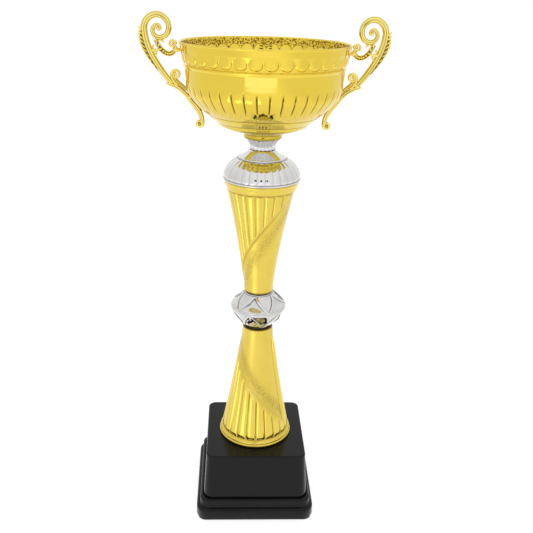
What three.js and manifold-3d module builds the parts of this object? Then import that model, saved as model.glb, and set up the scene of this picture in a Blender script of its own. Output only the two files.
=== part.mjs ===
// Two-handled cup trophy on a stepped black base.
// Millimetres, +Z up. The origin is the middle of the pad that the trophy stands on.
// A threaded tie rod runs up the middle and clamps the whole stack between a nut
// under the base top and a nut inside the bowl. The handles are screwed to the bowl.

import * as THREE from 'three';
import { mergeVertices } from 'three/addons/utils/BufferGeometryUtils.js';
import Module from 'manifold-3d';

const wasm = await Module();
wasm.setup();

// Driving dimensions
const GAP = 0.3;                 // clearance between touching pieces
const SEGMENTS = 32;             // facets round a turned piece
const BOWL_SEGMENTS = 40;
const WALL = 2.0;                // wall of the moulded plastic pieces
const HOLE_R = 3.4;              // rod hole in every stacked piece
const ROD_R = 3.0;               // M6 threaded rod

// Base
const PAD_THICKNESS = 0.9;
const PAD_HALF = 63;
const PLATE_HALF = 65;
const PLATE_TOP = 15;
const STEP_HALF = 61;
const STEP_TOP = 25;
const BLOCK_HALF_BOTTOM = 57;
const BLOCK_HALF_TOP = 54;
const BASE_TOP = 78;
const CORNER_R = 10;
const BASE_WALL = 2.6;
const WEIGHT_HALF = 50;
const WEIGHT_HEIGHT = 26;

// Stack heights
const LOWER_COLUMN_TOP = 212;
const BALL_GIRDLE = 235.3;
const BALL_TOP = 251.5;
const COLLAR_BOTTOM = 364;
const UPPER_COLUMN_TOP = 373;
const DOME_TOP = 403;
const NECK_TOP = 414.2;
const SEAT_TOP = 420.3;
const RIM_TOP = 503;

// Radii
const FOOT_R = 40.3;
const FOOT_INNER_R = 37;
const LOWER_COLUMN_TOP_R = 16;
const BALL_END_R = 13.4;
const BALL_R = 29.1;
const UPPER_COLUMN_BOTTOM_R = 15;
const UPPER_COLUMN_TOP_R = 34.3;
const COLLAR_R = 38;
const RIM_R = 80;
const BOWL_WALL = 1.0;

// Handle, in its own plane: first the distance from the trophy's axis, then the height
const HANDLE_DEPTH = 5;
const LOOP_CENTRE = [99.1, 512.8];
const LOOP_QUARTER_RADII = [12.75, 12.3, 9.9, 8.1, 4.4, 3.1, 2.4];
const CURL_CENTRE = [61.4, 427.6];
const UPPER_SCREW_Z = 494.2;
const LOWER_SCREW_Z = 452;
const SCREW_R = 1.25;
const SCREW_HOLE_R = 1.55;

// Materials
const COLOURS = {
  gold: { color: 0xe6c84e, roughness: 0.15, metalness: 1.0 },
  satinGold: { color: 0xe0c258, roughness: 0.35, metalness: 1.0 },
  chrome: { color: 0xd4d3d0, roughness: 0.1, metalness: 1.0 },
  black: { color: 0x1c1c1c, roughness: 0.35, metalness: 0.0 },
  steel: { color: 0xb4b4b0, roughness: 0.4, metalness: 1.0 },
  cement: { color: 0x9a978f, roughness: 0.95, metalness: 0.0 },
  felt: { color: 0x141414, roughness: 1.0, metalness: 0.0 },
};

const trophy = new THREE.Group();

function addPart(name, geometry, colour) {
  const mesh = new THREE.Mesh(geometry, new THREE.MeshStandardMaterial(COLOURS[colour]));
  mesh.name = name;
  trophy.add(mesh);
  return mesh;
}

// A closed ring profile of [radius, height] points, anticlockwise, turned about Z.
function turned(profile, segments = SEGMENTS) {
  const points = [...profile, profile[0]].map(([r, z]) => new THREE.Vector2(r, z));
  return new THREE.LatheGeometry(points, segments).rotateX(Math.PI / 2);
}

// A straight tube about Z from one height to another.
function ring(inner, outer, low, high, segments = SEGMENTS) {
  return turned([[inner, low], [outer, low], [outer, high], [inner, high]], segments);
}

// Points [radius, height] on a radius that eases from one end to the other.
function taper(fromR, toR, fromZ, toZ, power, steps) {
  const points = [];
  for (let i = 0; i <= steps; i += 1) {
    const t = i / steps;
    points.push([fromR + (toR - fromR) * t ** power, fromZ + (toZ - fromZ) * t]);
  }
  return points;
}

// Boolean helpers
function toSolid(geometry) {
  const bare = geometry.index ? geometry.toNonIndexed() : geometry.clone();
  bare.deleteAttribute('normal');
  bare.deleteAttribute('uv');
  const merged = mergeVertices(bare, 1e-4);
  const triangles = [];
  const index = merged.index.array;
  for (let i = 0; i < index.length; i += 3) {
    const [a, b, c] = [index[i], index[i + 1], index[i + 2]];
    if (a !== b && b !== c && a !== c) {
      triangles.push(a, b, c);
    }
  }
  return new wasm.Manifold(new wasm.Mesh({
    numProp: 3,
    vertProperties: Float32Array.from(merged.attributes.position.array),
    triVerts: Uint32Array.from(triangles),
  }));
}

function toGeometry(solid) {
  const mesh = solid.getMesh();
  const geometry = new THREE.BufferGeometry();
  geometry.setAttribute('position', new THREE.BufferAttribute(mesh.vertProperties, 3));
  geometry.setIndex(new THREE.BufferAttribute(mesh.triVerts, 1));
  return geometry;
}

function joined(geometries) {
  return geometries.map(toSolid).reduce((whole, piece) => whole.add(piece));
}

// Base: rounded squares stacked on each other
function roundedSquare(half, corner) {
  const shape = new THREE.Shape();
  const inner = half - corner;
  shape.moveTo(half, -inner);
  shape.absarc(inner, inner, corner, 0, Math.PI / 2, false);
  shape.absarc(-inner, inner, corner, Math.PI / 2, Math.PI, false);
  shape.absarc(-inner, -inner, corner, Math.PI, 1.5 * Math.PI, false);
  shape.absarc(inner, -inner, corner, 1.5 * Math.PI, 2 * Math.PI, false);
  return shape;
}

// A rounded square that narrows from one half width to another over its height.
function taperedBlock(halfLow, halfHigh, corner, low, high) {
  const settings = { depth: high - low, bevelEnabled: false, curveSegments: 3 };
  const geometry = new THREE.ExtrudeGeometry(roundedSquare(halfLow, corner), settings);
  const position = geometry.attributes.position;
  for (let i = 0; i < position.count; i += 1) {
    if (position.getZ(i) > (high - low) / 2) {
      position.setX(i, position.getX(i) * halfHigh / halfLow);
      position.setY(i, position.getY(i) * halfHigh / halfLow);
    }
  }
  return geometry.translate(0, 0, low);
}

function baseShell() {
  const bottom = PAD_THICKNESS + GAP;
  const edge = 1.2;
  const tuck = 0.4;                                    // how far each block runs into the one below
  const outside = joined([
    taperedBlock(PLATE_HALF, PLATE_HALF - 0.5, CORNER_R, bottom, PLATE_TOP - edge),
    taperedBlock(PLATE_HALF - 0.5, PLATE_HALF - 0.5 - edge, CORNER_R, PLATE_TOP - edge - 0.001, PLATE_TOP),
    taperedBlock(STEP_HALF, STEP_HALF - 0.4, CORNER_R, PLATE_TOP - tuck, STEP_TOP - edge),
    taperedBlock(STEP_HALF - 0.4, STEP_HALF - 0.4 - edge, CORNER_R, STEP_TOP - edge - 0.001, STEP_TOP),
    taperedBlock(BLOCK_HALF_BOTTOM, BLOCK_HALF_TOP, CORNER_R, STEP_TOP - tuck, BASE_TOP - edge),
    taperedBlock(BLOCK_HALF_TOP, BLOCK_HALF_TOP - edge, CORNER_R, BASE_TOP - edge - 0.001, BASE_TOP),
  ]);
  const innerTop = BASE_TOP - BASE_WALL - 0.4;
  const innerCorner = CORNER_R - BASE_WALL;
  const hollow = joined([
    taperedBlock(PLATE_HALF - BASE_WALL - 0.6, PLATE_HALF - BASE_WALL - 0.8, innerCorner, 0, PLATE_TOP - BASE_WALL),
    taperedBlock(STEP_HALF - BASE_WALL - 0.6, STEP_HALF - BASE_WALL - 0.8, innerCorner, 0.5, STEP_TOP - BASE_WALL),
    taperedBlock(BLOCK_HALF_BOTTOM - BASE_WALL, BLOCK_HALF_TOP - BASE_WALL, innerCorner, 1, innerTop),
  ]);
  const rodHole = new THREE.CylinderGeometry(HOLE_R, HOLE_R, 20, 24);
  rodHole.rotateX(Math.PI / 2);
  rodHole.translate(0, 0, BASE_TOP);
  return toGeometry(outside.subtract(hollow).subtract(toSolid(rodHole)));
}

addPart('base_pad', taperedBlock(PAD_HALF, PAD_HALF, CORNER_R - 1, 0, PAD_THICKNESS), 'felt');
addPart('base_shell', baseShell(), 'black');
const weightBottom = PAD_THICKNESS + GAP;
const weightTop = weightBottom + WEIGHT_HEIGHT;
addPart('base_weight', taperedBlock(WEIGHT_HALF, WEIGHT_HALF - 1, 6, weightBottom, weightTop), 'cement');

// Clamping hardware: rod, washers and nuts
const WASHER_R = 12;
const WASHER_THICKNESS = 1.6;
const NUT_ACROSS_FLATS = 10;
const NUT_HEIGHT = 5;

function washer(low, thickness) {
  return ring(HOLE_R, WASHER_R, low, low + thickness, 24);
}

function nut(low) {
  const outline = new THREE.Shape();
  const cornerR = NUT_ACROSS_FLATS / Math.sqrt(3);
  for (let i = 0; i < 6; i += 1) {
    const angle = i * Math.PI / 3;
    const [x, y] = [cornerR * Math.cos(angle), cornerR * Math.sin(angle)];
    if (i === 0) {
      outline.moveTo(x, y);
    } else {
      outline.lineTo(x, y);
    }
  }
  outline.closePath();
  const hole = new THREE.Path();
  hole.absarc(0, 0, ROD_R + GAP, 0, 2 * Math.PI, true);
  outline.holes.push(hole);
  const settings = { depth: NUT_HEIGHT, bevelEnabled: false, curveSegments: 8 };
  return new THREE.ExtrudeGeometry(outline, settings).translate(0, 0, low);
}

const baseWasherLow = BASE_TOP - BASE_WALL - 0.4 - GAP - WASHER_THICKNESS;
const baseNutLow = baseWasherLow - GAP - NUT_HEIGHT;
const bowlFloor = SEAT_TOP + GAP + BOWL_WALL;
const bowlWasherLow = bowlFloor + GAP;
const bowlNutLow = bowlWasherLow + WASHER_THICKNESS + GAP;
const rodLow = baseNutLow - 6;
const rodHigh = bowlNutLow + NUT_HEIGHT + 3;

addPart('base_washer', washer(baseWasherLow, WASHER_THICKNESS), 'steel');
addPart('base_nut', nut(baseNutLow), 'steel');
const rod = new THREE.CylinderGeometry(ROD_R, ROD_R, rodHigh - rodLow, 16);
rod.rotateX(Math.PI / 2);
rod.translate(0, 0, (rodLow + rodHigh) / 2);
addPart('tie_rod', rod, 'steel');
addPart('bowl_washer', washer(bowlWasherLow, WASHER_THICKNESS), 'steel');
addPart('bowl_nut', nut(bowlNutLow), 'steel');

// Columns: hollow mouldings, closed at the narrow end except for the rod hole
function lowerColumn() {
  const low = BASE_TOP + GAP;
  const ringTop = low + 8;
  const outer = taper(LOWER_COLUMN_TOP_R, FOOT_INNER_R, LOWER_COLUMN_TOP, ringTop, 1.32, 6).reverse();
  const innerTop = LOWER_COLUMN_TOP - 2.4;
  const inner = taper(LOWER_COLUMN_TOP_R - WALL, FOOT_INNER_R - WALL, innerTop, ringTop, 1.32, 4);
  return turned([
    [FOOT_R - 1.2, low],
    [FOOT_R, low + 1.6],
    [FOOT_R, low + 5.6],
    [FOOT_R - 1.2, low + 7.4],
    ...outer,
    [HOLE_R, LOWER_COLUMN_TOP],
    [HOLE_R, innerTop],
    ...inner,
    [FOOT_INNER_R - WALL, low],
  ]);
}

function upperColumn() {
  const low = BALL_TOP + GAP;
  const outer = taper(UPPER_COLUMN_BOTTOM_R, UPPER_COLUMN_TOP_R, low, COLLAR_BOTTOM, 1.42, 6);
  const innerLow = low + 2.4;
  const inner = taper(UPPER_COLUMN_BOTTOM_R - WALL, UPPER_COLUMN_TOP_R - WALL, innerLow, COLLAR_BOTTOM, 1.42, 4);
  return turned([
    [HOLE_R, low],
    ...outer,
    [UPPER_COLUMN_TOP_R + 0.8, COLLAR_BOTTOM + 0.4],
    [COLLAR_R, UPPER_COLUMN_TOP],
    [COLLAR_R - 2 * WALL, UPPER_COLUMN_TOP],
    ...inner.reverse(),
    [HOLE_R, innerLow],
  ]);
}

addPart('lower_column', lowerColumn(), 'satinGold');
addPart('upper_column', upperColumn(), 'satinGold');

// Ball: two halves that meet at the girdle
addPart('ball_lower_half', turned([
  [HOLE_R, LOWER_COLUMN_TOP + GAP],
  [BALL_END_R, LOWER_COLUMN_TOP + GAP],
  [21.3, 219.8],
  [26.3, 227.5],
  [BALL_R, BALL_GIRDLE - GAP],
  [BALL_R - 2.4, BALL_GIRDLE - GAP],
  [24, 228.6],
  [19.6, 221.8],
  [BALL_END_R - 1, LOWER_COLUMN_TOP + 2.6],
  [HOLE_R, LOWER_COLUMN_TOP + 2.6],
], 24), 'chrome');
addPart('ball_upper_half', turned([
  [BALL_R - 2.4, BALL_GIRDLE],
  [BALL_R, BALL_GIRDLE],
  [27.9, 239.4],
  [24.4, 245.2],
  [BALL_END_R, BALL_TOP],
  [HOLE_R, BALL_TOP],
  [HOLE_R, BALL_TOP - 2.4],
  [BALL_END_R - 1, BALL_TOP - 2.4],
  [22.4, 243.6],
  [25.5, 238.9],
], 24), 'chrome');

// Dome and neck
const domeBottom = UPPER_COLUMN_TOP + GAP;
addPart('silver_dome', turned([
  [COLLAR_R - 2.4, domeBottom],
  [COLLAR_R + 0.4, domeBottom],
  [COLLAR_R + 0.7, domeBottom + 2.7],
  [COLLAR_R + 0.4, domeBottom + 5.7],
  [36.6, 384],
  [34.2, 388.5],
  [30.2, 392.5],
  [23.3, 395.3],
  [22.6, 396.6],
  [17, 399.4],
  [13.3, DOME_TOP],
  [HOLE_R, DOME_TOP],
  [HOLE_R, DOME_TOP - WALL],
  [12.4, DOME_TOP - WALL],
  [16, 397.2],
  [21.6, 394.4],
  [29, 390.6],
  [32.6, 387],
  [34.8, 383],
  [COLLAR_R - 2.4, domeBottom + 5],
]), 'chrome');
const neckBottom = DOME_TOP + GAP;
addPart('silver_neck', turned([
  [HOLE_R, neckBottom],
  [12.6, neckBottom],
  [12.8, 405.6],
  [14.4, 409.4],
  [17.8, NECK_TOP],
  [15.6, NECK_TOP],
  [12.4, 409.8],
  [10.9, 405.4],
  [HOLE_R, 405.4],
]), 'chrome');
const seatBottom = NECK_TOP + GAP;
addPart('bowl_seat', turned([
  [HOLE_R, seatBottom],
  [18.4, seatBottom],
  [19, seatBottom + 1],
  [19, SEAT_TOP - 1],
  [18.4, SEAT_TOP],
  [HOLE_R, SEAT_TOP],
]), 'gold');

// Bowl: the outer profile from the flat bottom to the rim, and the same profile one wall inside
const bowlBottom = SEAT_TOP + GAP;
const BOWL_PROFILE = [
  [20, bowlBottom],
  [28, 421.4],
  [37, 424.4],
  [43.8, 428.2],
  [53, 436.2],
  [62, 443.8],
  [68.6, 451],
  [72.2, 456],
  [74, 461],
  [75.3, 478],
  [76.2, 481.5],
  [75.9, 483.6],
  [79, 490],
  [79.6, 496],
  [RIM_R, RIM_TOP - 1],
];

// Outward normal of the bowl's wall where the outer profile crosses a height.
function bowlWallAt(z) {
  const next = BOWL_PROFILE.findIndex((point) => point[1] > z);
  const [lowR, lowZ] = BOWL_PROFILE[next - 1];
  const [highR, highZ] = BOWL_PROFILE[next];
  const t = (z - lowZ) / (highZ - lowZ);
  const length = Math.hypot(highR - lowR, highZ - lowZ);
  return {
    point: [lowR + (highR - lowR) * t, z],
    normal: [(highZ - lowZ) / length, -(highR - lowR) / length],
  };
}

// Where a screw stands: on the wall, with its axis along the wall's normal.
function placeOnWall(object, side, z) {
  const { point, normal } = bowlWallAt(z);
  const direction = new THREE.Vector3(side * normal[0], 0, normal[1]);
  object.position.set(side * point[0], 0, point[1]);
  object.quaternion.setFromUnitVectors(new THREE.Vector3(0, 0, 1), direction);
  object.updateMatrix();
  return object;
}

// A cylinder along the wall's normal, from one distance outside the wall to another.
function cylinderOnWall(radius, from, to, side, z, segments = 12) {
  const geometry = new THREE.CylinderGeometry(radius, radius, to - from, segments);
  geometry.rotateX(Math.PI / 2);
  geometry.translate(0, 0, (from + to) / 2);
  return geometry.applyMatrix4(placeOnWall(new THREE.Object3D(), side, z).matrix);
}

function bowl() {
  const inner = BOWL_PROFILE.map(([r, z], i) => {
    const [lowR, lowZ] = BOWL_PROFILE[Math.max(i - 1, 0)];
    const [highR, highZ] = BOWL_PROFILE[Math.min(i + 1, BOWL_PROFILE.length - 1)];
    const length = Math.hypot(highR - lowR, highZ - lowZ);
    return [r - BOWL_WALL * (highZ - lowZ) / length, z + BOWL_WALL * (highR - lowR) / length];
  });
  inner[0][1] = bowlFloor;
  const shell = turned([
    [HOLE_R, bowlBottom],
    ...BOWL_PROFILE,
    [RIM_R + 0.5, RIM_TOP - 0.6],
    [RIM_R + 0.3, RIM_TOP],
    [RIM_R - 0.9, RIM_TOP],
    ...inner.reverse(),
    [HOLE_R, bowlFloor],
  ], BOWL_SEGMENTS);
  let solid = toSolid(shell);
  for (const side of [-1, 1]) {
    for (const z of [UPPER_SCREW_Z, LOWER_SCREW_Z]) {
      solid = solid.subtract(toSolid(cylinderOnWall(SCREW_HOLE_R, -3, 2, side, z)));
    }
  }
  return toGeometry(solid);
}

addPart('bowl', bowl(), 'gold');

// Handle: flat strokes of changing width along curves in one plane
function sampled(curve, steps) {
  return curve.getPoints(steps).map((point) => [point.x, point.y]);
}

function bezier(a, b, c, d, steps) {
  return sampled(new THREE.CubicBezierCurve(...[a, b, c, d].map((p) => new THREE.Vector2(...p))), steps);
}

// A spiral whose radius is given at each quarter turn, anticlockwise from the +X side.
function spiral(centre, quarterRadii, startQuarter, turnSign, stepsPerQuarter) {
  const points = [];
  const steps = (quarterRadii.length - 1) * stepsPerQuarter;
  for (let i = 0; i <= steps; i += 1) {
    const quarter = i / stepsPerQuarter;
    const k = Math.min(Math.floor(quarter), quarterRadii.length - 2);
    const radius = quarterRadii[k] + (quarterRadii[k + 1] - quarterRadii[k]) * (quarter - k);
    const angle = (startQuarter + turnSign * quarter) * Math.PI / 2;
    points.push([centre[0] + radius * Math.cos(angle), centre[1] + radius * Math.sin(angle)]);
  }
  return points;
}

function stroke(points, startWidth, endWidth, depth) {
  const line = new THREE.SplineCurve(points.map((p) => new THREE.Vector2(...p)));
  const steps = points.length;
  const left = [];
  const right = [];
  for (let i = 0; i <= steps; i += 1) {
    const t = i / steps;
    const centre = line.getPoint(t);
    const tangent = line.getTangent(t);
    const half = (startWidth + (endWidth - startWidth) * t) / 2;
    left.push(new THREE.Vector2(centre.x - tangent.y * half, centre.y + tangent.x * half));
    right.push(new THREE.Vector2(centre.x + tangent.y * half, centre.y - tangent.x * half));
  }
  return plate(new THREE.Shape([...left, ...right.reverse()]), depth);
}

// A flat shape drawn in the handle's plane, with its thickness centred on that plane.
function plate(shape, depth) {
  const settings = { depth, bevelEnabled: false, curveSegments: 6 };
  const geometry = new THREE.ExtrudeGeometry(shape, settings);
  return geometry.rotateX(Math.PI / 2).translate(0, depth / 2, 0);
}

function disc(centre, radius, depth) {
  const shape = new THREE.Shape();
  shape.absarc(centre[0], centre[1], radius, 0, 2 * Math.PI, false);
  return plate(shape, depth);
}

function leaf() {
  const shape = new THREE.Shape();
  shape.moveTo(112.6, 519);
  shape.bezierCurveTo(119.4, 513, 119.6, 500, 112.6, 490.4);
  shape.bezierCurveTo(110, 486, 106, 480.6, 100.6, 475.6);
  shape.lineTo(99.4, 480);
  shape.bezierCurveTo(106, 488, 110.5, 500, 111, 512);
  shape.closePath();
  return plate(shape, HANDLE_DEPTH - 1.6);
}

function handle() {
  const loop = spiral(LOOP_CENTRE, LOOP_QUARTER_RADII, 0, 1, 3);
  const spine = bezier([111.85, 512.8], [111.5, 497], [102.5, 481], [87.6, 464.4], 9);
  const legTop = bezier([90, 463.6], [84, 462.4], [77, 458.4], [71.4, 450.2], 5);
  const legBottom = bezier([71.4, 450.2], [66.6, 443], [59.6, 440], [58.9, 426.6], 5);
  const curl = spiral(CURL_CENTRE, [2.9, 2.9, 2.7, 2.4], 2, 1, 3);
  const smallScroll = spiral([85.9, 499.4], [3.0, 2.7, 2.4, 2.2], 2, -1, 3);
  const arc = bezier([82.9, 499.4], [83, 489], [95, 486.6], [101.4, 503.6], 8);
  const lowerScroll = spiral([83.5, 472.2], [3.8, 3.5, 3.1, 2.6, 2.0], 0, 1, 3);
  const scrollTail = bezier([87.3, 472.2], [87.4, 467.6], [84, 464.8], [80, 461.6], 4);
  const pieces = [
    stroke([...loop.slice(0, 13).reverse(), ...spine.slice(1)], 4.0, 5.2, HANDLE_DEPTH),
    stroke(loop.slice(11), 4.2, 2.4, HANDLE_DEPTH - 0.6),
    disc(LOOP_CENTRE, 3.2, HANDLE_DEPTH - 1),
    leaf(),
    stroke([...legTop, ...legBottom.slice(1)], 3.4, 4.2, HANDLE_DEPTH - 0.8),
    stroke(curl, 2.6, 2.0, HANDLE_DEPTH - 1.2),
    disc(CURL_CENTRE, 1.7, HANDLE_DEPTH - 1.6),
    stroke(arc, 2.6, 3.4, HANDLE_DEPTH - 1.2),
    stroke(smallScroll, 2.4, 2.0, HANDLE_DEPTH - 1.4),
    disc([85.9, 499.4], 1.6, HANDLE_DEPTH - 1.8),
    stroke([[106, 489.6], [102, 493.6], [97.4, 496]], 3.6, 3.0, HANDLE_DEPTH - 1.4),
    stroke(lowerScroll, 2.8, 2.4, HANDLE_DEPTH - 0.9),
    disc([83.5, 472.2], 2.0, HANDLE_DEPTH - 1.3),
    stroke(scrollTail, 2.8, 3.4, HANDLE_DEPTH - 0.9),
    cylinderOnWall(2.6, GAP, 4.8, 1, UPPER_SCREW_Z),
    cylinderOnWall(2.7, GAP, 4.6, 1, LOWER_SCREW_Z),
  ];
  const bead = new THREE.SphereGeometry(1.6, 8, 5);
  for (let i = 0; i < 4; i += 1) {
    pieces.push(bead.clone().translate(81.6 - 1.5 * i, 0, 466 - 1.5 * i));
  }
  let solid = joined(pieces);
  for (const z of [UPPER_SCREW_Z, LOWER_SCREW_Z]) {
    solid = solid.subtract(toSolid(cylinderOnWall(SCREW_HOLE_R, -3, 4, 1, z)));
  }
  // The wall itself, with its gap, trims anything that would run into the bowl.
  const wall = BOWL_PROFILE.map(([r, z]) => [r + GAP, z - GAP]);
  return solid.subtract(toSolid(turned([[30, bowlBottom - GAP], ...wall, [30, RIM_TOP - 1]], BOWL_SEGMENTS)));
}

const rightHandle = toGeometry(handle());
addPart('handle_right', rightHandle, 'gold');
addPart('handle_left', rightHandle.clone().rotateZ(Math.PI), 'gold');

// Handle screws and washers, inside the bowl
const SCREW_WASHER_R = 3.2;
const SCREW_WASHER_THICKNESS = 0.5;
const SCREW_HEAD_R = 2.5;
const SCREW_HEAD_HEIGHT = 1.8;
const washerInner = -BOWL_WALL - 0.7;
const headInner = washerInner - SCREW_WASHER_THICKNESS - GAP;

function screw() {
  const profile = [
    [0, headInner - SCREW_HEAD_HEIGHT],
    [SCREW_HEAD_R, headInner - SCREW_HEAD_HEIGHT],
    [SCREW_HEAD_R, headInner],
    [SCREW_R, headInner],
    [SCREW_R, 3.6],
    [0, 3.6],
  ];
  const points = profile.map(([r, z]) => new THREE.Vector2(r, z));
  return new THREE.LatheGeometry(points, 12).rotateX(Math.PI / 2);
}

for (const [sideName, side] of [['left', -1], ['right', 1]]) {
  for (const [levelName, z] of [['upper', UPPER_SCREW_Z], ['lower', LOWER_SCREW_Z]]) {
    const washerLow = washerInner - SCREW_WASHER_THICKNESS;
    const flatWasher = ring(SCREW_HOLE_R, SCREW_WASHER_R, washerLow, washerInner, 12);
    placeOnWall(addPart(`handle_screw_${sideName}_${levelName}`, screw(), 'steel'), side, z);
    placeOnWall(addPart(`handle_washer_${sideName}_${levelName}`, flatWasher, 'steel'), side, z);
  }
}

export default trophy;
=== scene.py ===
"""Looks of the two-handled cup trophy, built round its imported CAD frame.

Lengths are in millimetres in the shape code and become metres when a mesh is made.
Angles round the trophy, called phi, run from 0 at the front (-Y) towards +X.
"""

import math

import bpy
import numpy as np
from mathutils import Matrix, Vector


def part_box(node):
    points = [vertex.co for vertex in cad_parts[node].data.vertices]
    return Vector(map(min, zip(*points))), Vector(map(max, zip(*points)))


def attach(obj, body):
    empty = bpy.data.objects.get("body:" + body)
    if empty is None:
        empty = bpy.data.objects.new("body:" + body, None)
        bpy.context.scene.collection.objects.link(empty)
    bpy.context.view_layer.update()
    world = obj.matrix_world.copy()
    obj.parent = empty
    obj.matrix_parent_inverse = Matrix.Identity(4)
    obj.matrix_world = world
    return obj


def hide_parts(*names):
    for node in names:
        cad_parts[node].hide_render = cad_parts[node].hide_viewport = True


MM = 0.001
TAU = 2 * math.pi
BORE = 3.6  # radius of the rod's hole through each piece of the stack

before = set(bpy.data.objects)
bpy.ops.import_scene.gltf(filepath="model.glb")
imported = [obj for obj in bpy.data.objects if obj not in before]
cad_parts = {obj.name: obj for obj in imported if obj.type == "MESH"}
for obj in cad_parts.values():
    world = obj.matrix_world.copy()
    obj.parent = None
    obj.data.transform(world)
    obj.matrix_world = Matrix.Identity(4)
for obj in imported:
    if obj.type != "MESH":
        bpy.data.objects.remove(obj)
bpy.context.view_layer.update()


def box_mm(node):
    """Lowest and highest corners of a CAD node, in millimetres."""
    low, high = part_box(node)
    return np.array(low) / MM, np.array(high) / MM


def ends_of(node):
    """Heights of a CAD node's lowest and highest points."""
    low, high = box_mm(node)
    return low[2], high[2]


def radius_of(node):
    """How far a CAD node reaches from the axis, measured along +Y."""
    return box_mm(node)[1][1]


# ---- small maths


def smoothstep(low, high, value):
    """0 at low and before it, 1 at high and past it, and a smooth change between. low may be the larger."""
    t = np.clip((value - low) / (high - low), 0.0, 1.0)
    return t * t * (3.0 - 2.0 * t)


def bell(value, centre, width):
    """1 at centre, and fading away over width on both sides of it."""
    return np.exp(-(((value - centre) / width) ** 2))


def fading(distance, reach):
    """1 at no distance, and 0 from reach on."""
    return np.clip(1.0 - distance / reach, 0.0, 1.0)


def cell(phi, count, phase_deg):
    """Where phi lies inside its cell, from -1 to 1, when the turn is cut into count equal cells."""
    turn = (phi - math.radians(phase_deg)) * count / TAU
    return 2.0 * (turn - np.round(turn))


def wrapped(phi, start_deg):
    """phi in degrees, counted from start_deg to start_deg + 360."""
    return np.mod(np.degrees(phi) - start_deg, 360.0) + start_deg


def blend(p, q, start, end, t):
    """p at start, q at end, and in proportion at t."""
    return (end - t) / (end - start) * p + (t - start) / (end - start) * q


def curve(points, spacing):
    """Centripetal Catmull-Rom curve through points, sampled about every spacing."""
    pts = np.array(points, float)
    padded = np.vstack([2 * pts[0] - pts[1], pts, 2 * pts[-1] - pts[-2]])
    out = []
    for i in range(1, len(padded) - 2):
        a, b, c, d = padded[i - 1 : i + 3]
        gaps = [max(np.linalg.norm(q - p), 1e-6) ** 0.5 for p, q in ((a, b), (b, c), (c, d))]
        k0, k1, k2, k3 = np.cumsum([0.0] + gaps)
        steps = max(1, int(round(np.linalg.norm(c - b) / spacing)))
        for k in range(steps):
            t = k1 + (k2 - k1) * k / steps
            ab = blend(a, b, k0, k1, t)
            bc = blend(b, c, k1, k2, t)
            cd = blend(c, d, k2, k3, t)
            abc = blend(ab, bc, k0, k2, t)
            bcd = blend(bc, cd, k1, k3, t)
            out.append(blend(abc, bcd, k1, k2, t))
    out.append(pts[-1])
    return np.array(out)


def straight(points, spacing):
    """The corner-to-corner line through points, sampled about every spacing."""
    out = []
    for start, end in zip(points[:-1], points[1:]):
        start, end = np.array(start, float), np.array(end, float)
        steps = max(1, int(round(np.linalg.norm(end - start) / spacing)))
        out.extend(start + (end - start) * k / steps for k in range(steps))
    out.append(np.array(points[-1], float))
    return np.array(out)


def joined(*lines):
    """Lines end to end, with repeated points dropped."""
    merged = np.vstack(lines)
    keep = np.ones(len(merged), bool)
    keep[1:] = np.linalg.norm(np.diff(merged, axis=0), axis=1) > 1e-4
    return merged[keep]


def raised(z, *points):
    """Profile points [radius, height] whose heights are counted from z."""
    return [[r, z + height] for r, height in points]


def profile_normals(profile):
    """Outward unit normals of a closed anticlockwise profile of [radius, height] points."""
    tangent = np.roll(profile, -1, axis=0) - np.roll(profile, 1, axis=0)
    normal = np.stack([tangent[:, 1], -tangent[:, 0]], axis=1)
    return normal / np.linalg.norm(normal, axis=1, keepdims=True)


def inner_line(outer, wall):
    """The open line outer moved inwards by wall, running back the other way."""
    tangent = np.gradient(outer, axis=0)
    normal = np.stack([tangent[:, 1], -tangent[:, 0]], axis=1)
    normal /= np.linalg.norm(normal, axis=1, keepdims=True)
    return (outer - normal * wall)[::-1]


# ---- mesh makers


def make_mesh(name, vertices, faces, material, sharp_deg=40.0):
    """A mesh object from millimetre vertices."""
    mesh = bpy.data.meshes.new(name)
    corners = (np.asarray(vertices) * MM).tolist()
    mesh.from_pydata(corners, [], [tuple(int(i) for i in face) for face in faces])
    mesh.validate()
    mesh.update()
    mesh.shade_smooth()
    mesh.set_sharp_from_angle(angle=math.radians(sharp_deg))
    mesh.materials.append(material)
    piece = bpy.data.objects.new(name, mesh)
    bpy.context.scene.collection.objects.link(piece)
    return piece


def grid_faces(rows, columns, close_rows=True):
    """Quads of a grid whose columns wrap round, and whose rows wrap round too if close_rows."""
    i = np.arange(rows if close_rows else rows - 1)
    j = np.arange(columns)
    ii, jj = np.meshgrid(i, j, indexing="ij")
    this_row = ii * columns
    next_row = (ii + 1) % rows * columns
    next_j = (jj + 1) % columns
    quads = np.stack([this_row + jj, this_row + next_j, next_row + next_j, next_row + jj], -1)
    return quads.reshape(-1, 4)


def turned(name, profile, angles, material, push=None, sharp_deg=40.0):
    """A closed profile turned about Z. angles is one row of phi, or one row for each profile point.

    push, with a row for each profile point, moves the surface out along its normal."""
    normals = profile_normals(profile)
    phi = np.broadcast_to(angles, (len(profile), np.shape(angles)[-1]))
    r = np.repeat(profile[:, :1], phi.shape[1], axis=1)
    z = np.repeat(profile[:, 1:], phi.shape[1], axis=1)
    if push is not None:
        r = r + push * normals[:, :1]
        z = z + push * normals[:, 1:]
    vertices = np.stack([r * np.sin(phi), -r * np.cos(phi), z], axis=-1).reshape(-1, 3)
    return make_mesh(name, vertices, grid_faces(len(profile), phi.shape[1]), material, sharp_deg)


def even_angles(count):
    """count equal steps round the trophy, from the front."""
    return np.arange(count) * TAU / count


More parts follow.
